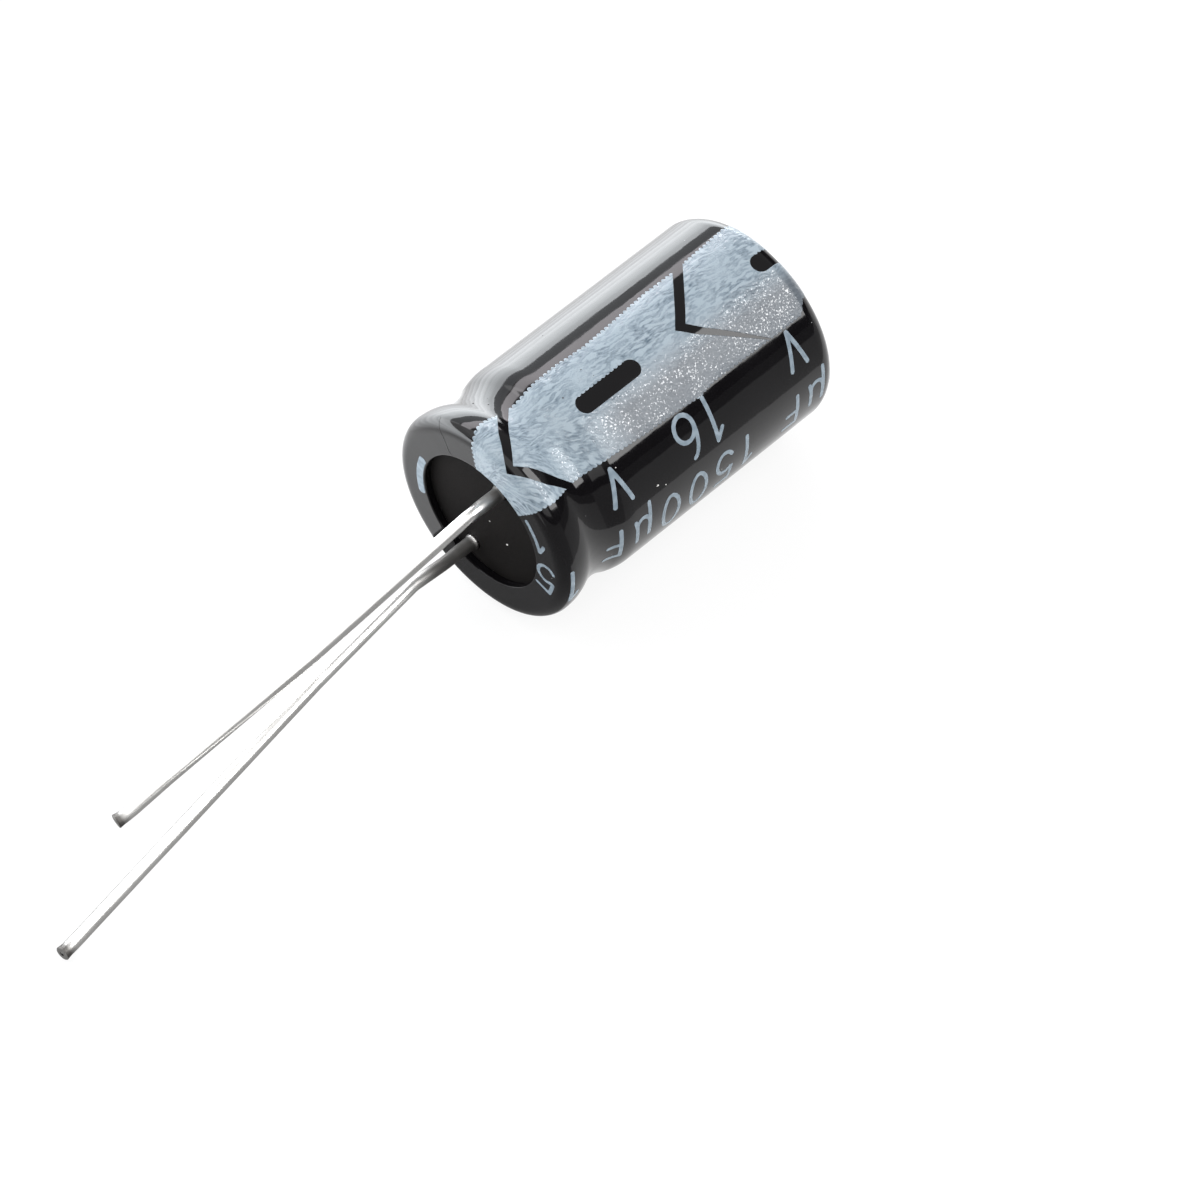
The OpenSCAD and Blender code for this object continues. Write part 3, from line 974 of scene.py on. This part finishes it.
def make_lead(lead, angle, route, material):
    """Wire swept along its route, with its last stretch turned up and its end cropped."""
    path = rounded_path(route_points(angle, route), bend_r)
    lengths = [0]
    for a, b in zip(path, path[1:]):
        lengths.append(lengths[-1] + (b - a).length)
    total = lengths[-1]
    for i, length in enumerate(lengths):
        late = max(0, length - total + hook_l)
        path[i] = path[i] + Vector((0, 0, lead["lift"])) * (late / hook_l) ** 2
    ways = [(b - a).normalized() for a, b in zip(path, path[1:])]
    ways.append(ways[-1])
    across = ways[0].orthogonal().normalized()
    points, places = [], []
    for at, way, length in zip(path, ways, lengths):
        across = (across - way * across.dot(way)).normalized()
        beside = way.cross(across)
        radius = lead_radius(length, total, lead["flare"])
        for k in range(wire_sides):
            turn = 2 * math.pi * k / wire_sides
            points.append(at + (across * math.cos(turn) + beside * math.sin(turn)) * radius)
            places.append((length, k / wire_sides))
    end, way = path[-1], ways[-1]
    rim = points[-wire_sides:]
    for share, rise in crop_rings:
        points += [end + (point - end) * share + way * rise for point in rim]
        places += [(total, share)] * wire_sides
    faces = grid_faces(len(path) + len(crop_rings), wire_sides, wrap_columns=True).tolist()
    faces.append([len(points) - wire_sides + k for k in range(wire_sides)])
    faces.append(list(range(wire_sides))[::-1])
    obj = make_mesh(lead["name"], points, faces)
    uv = obj.data.uv_layers.new(name="UVMap")
    corner = np.zeros(len(obj.data.loops), int)
    obj.data.loops.foreach_get("vertex_index", corner)
    places = np.array(places, np.float32)
    uv.data.foreach_set("uv", places[corner].ravel())
    along = places[:, 0] - (post_x - bung_face)
    # Painted dark reflection of the seal on the wire's root.
    root_shade = lead["shade_and_bare"] * np.clip((lead["root_shade_l"] - along) / lead["fade_l"], 0, 1) * (along > collar_l)
    # Painted shade on the tip behind the flared end; the cut face is darker as uncoated steel.
    tip = tip_shade * np.clip(tip_full - (total - places[:, 0]) / tip_shade_l, 0, 1)
    tip[len(path) * wire_sides:] = face_dull
    set_point_values(obj, "shade_and_bare", np.maximum(root_shade, tip))
    return add_piece(obj, [lead["node"]], material)


def film_spots(places):
    """Points of the film and the ways out of it there."""
    s, turn = np.array(places, float).T
    middle = on_film(s, turn, film_level)
    return list(zip(middle, on_film(s, turn, film_level + 1) - middle))


def seal_spots(places):
    return [(np.array([bung_face, y, z]), np.array([-1.0, 0, 0])) for y, z in places]


def specks(name, spots, radius, material):
    """Grains of dust, half sunk in what they lie on."""
    points, faces = [], []
    rings = np.radians(grain_rings)
    for k, (middle, up) in enumerate(spots):
        size = radius * grain_sizes[k % len(grain_sizes)]
        side = np.cross(up, grain_lean)
        side /= np.linalg.norm(side)
        other = np.cross(up, side) * grain_oval
        first = len(points)
        for lift in rings:
            for step in np.radians(np.arange(0, 360, 360 // grain_sides)):
                flat = math.cos(lift) * (side * math.cos(step) + other * math.sin(step))
                points.append(middle + size * flat + up * (size * grain_height * math.sin(lift)))
        points.append(middle + up * size * grain_height)
        faces += (grid_faces(len(rings), grain_sides, wrap_columns=True) + first).tolist()
        ring = first + grain_sides * (len(rings) - 1)
        top = ring + grain_sides
        faces += [[ring + k, top, ring + (k + 1) % grain_sides] for k in range(grain_sides)]
        faces.append([first + k for k in range(grain_sides)][::-1])
    obj = make_mesh(name, np.array(points), faces)
    return add_piece(obj, [], material)


def crack_way(share, values, sway):
    """A crack's places at the shares of its length, with a small sway."""
    smooth = np.interp(share, np.linspace(0, 1, len(values)), values)
    return smooth + sway["depth"] * noise(share * crack_cells, sway["row"] + 0 * share, sway["seed"])


def hairline(name, places, width, material):
    """A fine crack in the film along a chain of (along, angle) places."""
    s, turn = np.array(places, float).T
    share = np.linspace(0, 1, crack_steps)
    s = crack_way(share, s, crack_sway_s)
    turn = crack_way(share, turn, crack_sway_turn)
    middle = on_film(s, turn, film_level + film_relief(s, turn))
    up = on_film(s, turn, film_level + film_relief(s, turn) + width) - middle
    side = np.cross(np.gradient(middle, axis=0), up)
    half = width / 2 * (crack_end + np.sin(np.pi * share)) / np.linalg.norm(side, axis=1)
    side *= half[:, None]
    low = middle - up * crack_sink
    high = middle + up * crack_rise
    rows = np.stack([low - side, high - side / 2, high + side / 2, low + side], 1)
    faces = grid_faces(len(rows), 4, wrap_columns=True).tolist()
    faces += [[0, 1, 2, 3], [len(rows) * 4 - k for k in (1, 2, 3, 4)]]
    obj = make_mesh(name, rows.reshape(-1, 3), faces)
    return add_piece(obj, [], material)


def dress_nodes():
    """Finishes for the pieces that stay as the frame has them."""
    tab = metal_material("tab_aluminium")
    paper = paper_material()
    finishes = {
        "can": metal_material("can_aluminium"), "negative_tab": tab, "positive_tab": tab,
        "inner_separator": paper, "outer_separator": paper, "closing_tape": tape_material(),
        "anode_foil": metal_material("anode_foil"), "cathode_foil": metal_material("cathode_foil"),
    }
    for name, material in finishes.items():
        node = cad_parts[name]
        node.data.materials.clear()
        node.data.materials.append(material)


# The stage

def aimed(azimuth, elevation):
    """Unit vector that looks down at the elevation, turned from +Y to +X by the azimuth."""
    turn, rise = math.radians(azimuth), math.radians(elevation)
    return Vector((math.sin(turn) * math.cos(rise), math.cos(turn) * math.cos(rise), -math.sin(rise)))


def make_camera():
    data = bpy.data.cameras.new("photo_camera")
    data.lens = camera_lens
    data.sensor_width = sensor_w
    data.clip_start = 0.005
    data.clip_end = 5
    camera = added("photo_camera", data)
    ahead = aimed(camera_azimuth, camera_elevation)
    turned = ahead.to_track_quat("-Z", "Y").to_matrix().to_4x4()
    camera.matrix_world = Matrix.Translation(camera_at * MM) @ turned
    bpy.context.scene.camera = camera


def around_can(turn, lean):
    """Unit vector at an angle round the can, leant towards +X."""
    angle, tip = math.radians(turn), math.radians(lean)
    return Vector((math.sin(tip), math.cos(tip) * math.cos(angle), math.cos(tip) * math.sin(angle)))


def area_light(name, width, height, radiance, colour, place):
    """A rectangular light whose glow alone is seen."""
    data = bpy.data.lights.new(name, "AREA")
    data.shape = "RECTANGLE"
    data.size = width * MM
    data.size_y = height * MM
    data.energy = radiance * math.pi * data.size * data.size_y
    data.color = colour
    light = added(name, data)
    light.visible_camera = False
    light.matrix_world = place


def softbox(name, turn, lean, distance, width, height, radiance, colour, middle):
    """A soft light that faces the middle of the can or leads. Its height runs round them."""
    away = around_can(turn, lean)
    upward = (around_can(turn + 1, lean) - away).normalized()
    turned = Matrix((upward.cross(away), upward, away)).transposed().to_4x4()
    place = Matrix.Translation((Vector(middle) + away * distance) * MM) @ turned
    area_light(name, width, height, radiance, colour, place)


def seen_directly(shader):
    """A socket that is 1 for camera rays and less for what metal and glass show."""
    path = shader.node("LightPath").outputs
    seen = path["Is Camera Ray"]
    for name in ("Is Glossy Ray", "Is Transmission Ray"):
        seen = shader.maths("MAXIMUM", seen, shader.maths("MULTIPLY", path[name], floor_mirrored))
    return seen


def make_floor():
    """A pale floor that looks white where it is lit and keeps a soft shadow."""
    corners = [(x * floor_half, y * floor_half, floor_z) for x, y in ((-1, -1), (1, -1), (1, 1), (-1, 1))]
    floor = make_mesh("floor", corners, [[0, 1, 2, 3]], smooth=False)
    shader = Shader("floor_paper", Roughness=0.9, Base_Color=floor_colour, Specular_IOR_Level=0.0)
    mix = shader.node("MixShader")
    shader.join(shader.maths("MULTIPLY", seen_directly(shader), floor_glow), mix.inputs[0])
    shader.join(shader.surface.outputs[0], mix.inputs[1])
    shader.join(shader.node("Emission").outputs[0], mix.inputs[2])
    shader.join(mix.outputs[0], shader.tree.nodes["Material Output"].inputs["Surface"])
    floor.data.materials.append(shader.material)


def make_world():
    """White from the horizon down, a dark strip over it, and a dim studio above."""
    world = bpy.data.worlds.new("studio")
    bpy.context.scene.world = world
    sky = Nodes(world)
    background = sky.tree.nodes["Background"]
    split = sky.node("SeparateXYZ")
    height = sky.node("ValToRGB")
    for place_up, level in sky_stops[2:]:
        height.color_ramp.elements.new(place_up)
    for element, (place_up, level) in zip(height.color_ramp.elements, sky_stops):
        element.position = place_up
        element.color = (level, level, level, 1)
    sky.join(sky.place("Generated"), split.inputs[0])
    sky.join(split.outputs["Z"], height.inputs["Fac"])
    directly = sky.node("LightPath").outputs["Is Camera Ray"]
    sky.join(sky.maths("MAXIMUM", height.outputs["Color"], directly), background.inputs["Strength"])
    fill(background, Color=(1, 1, 1, 1))


def back_card():
    """A low card close behind the can, which glows more towards its top."""
    strip = (card_top - card_foot) / card_strips
    upright = Matrix.Rotation(-math.pi / 2, 4, "X")
    for k in range(card_strips):
        z = card_foot + (k + 0.5) * strip
        place = Matrix.Translation(Vector((card_x, card_y, z)) * MM) @ upright
        area_light(f"back_card_{k}", card_l, strip, float(np.interp(z, *zip(*card_glow))), cool, place)


def mirror_card(name, first, last, level):
    """A card that shows only in reflections."""
    x, y, z = first
    end_x, end_y, end_z = last
    corners = [first, (end_x, y, z), last, (x, end_y, end_z)]
    card = make_mesh(name, corners, [[0, 1, 2, 3]], smooth=False)
    shader = Shader(name, Roughness=1.0, Base_Color=(0, 0, 0, 1), Emission_Color=(1, 1, 1, 1),
                    Emission_Strength=level)
    card.data.materials.append(shader.material)
    card.visible_camera = False
    card.visible_diffuse = False
    card.visible_shadow = False


def make_lights():
    for box in softboxes:
        softbox(*box)
    back_card()
    for card in mirror_cards:
        mirror_card(*card)


bpy.context.scene.view_settings.view_transform = "Standard"
make_camera()
make_world()
make_floor()
make_lights()
dress_nodes()
film = film_material()
wrinkled_ink = ink_material("wrinkled_ink", True)
make_sleeve(film)
make_band(wrinkled_ink)
make_figures(ink_material("smooth_ink", False))
make_bung(rubber_material())
tin = wire_material()
make_lead(negative_wire, lead_angle, negative_route, tin)
make_lead(positive_wire, lead_angle + 180, positive_route, tin)
pale = plain_material("pale_dust", pale_grain, 0.6)
dark = plain_material("dark_dust", dark_grain, 0.3)
specks("pale_specks", film_spots(pale_dust), 0.05, pale)
specks("seal_specks", seal_spots(seal_dust), 0.06, pale)
specks("dark_specks", film_spots(dark_dust + band_dust), 0.045, dark)
hairline("ring_hairline", ring_crack, 0.05, dark)
hairline("band_hairline", band_crack, 0.045, dark)
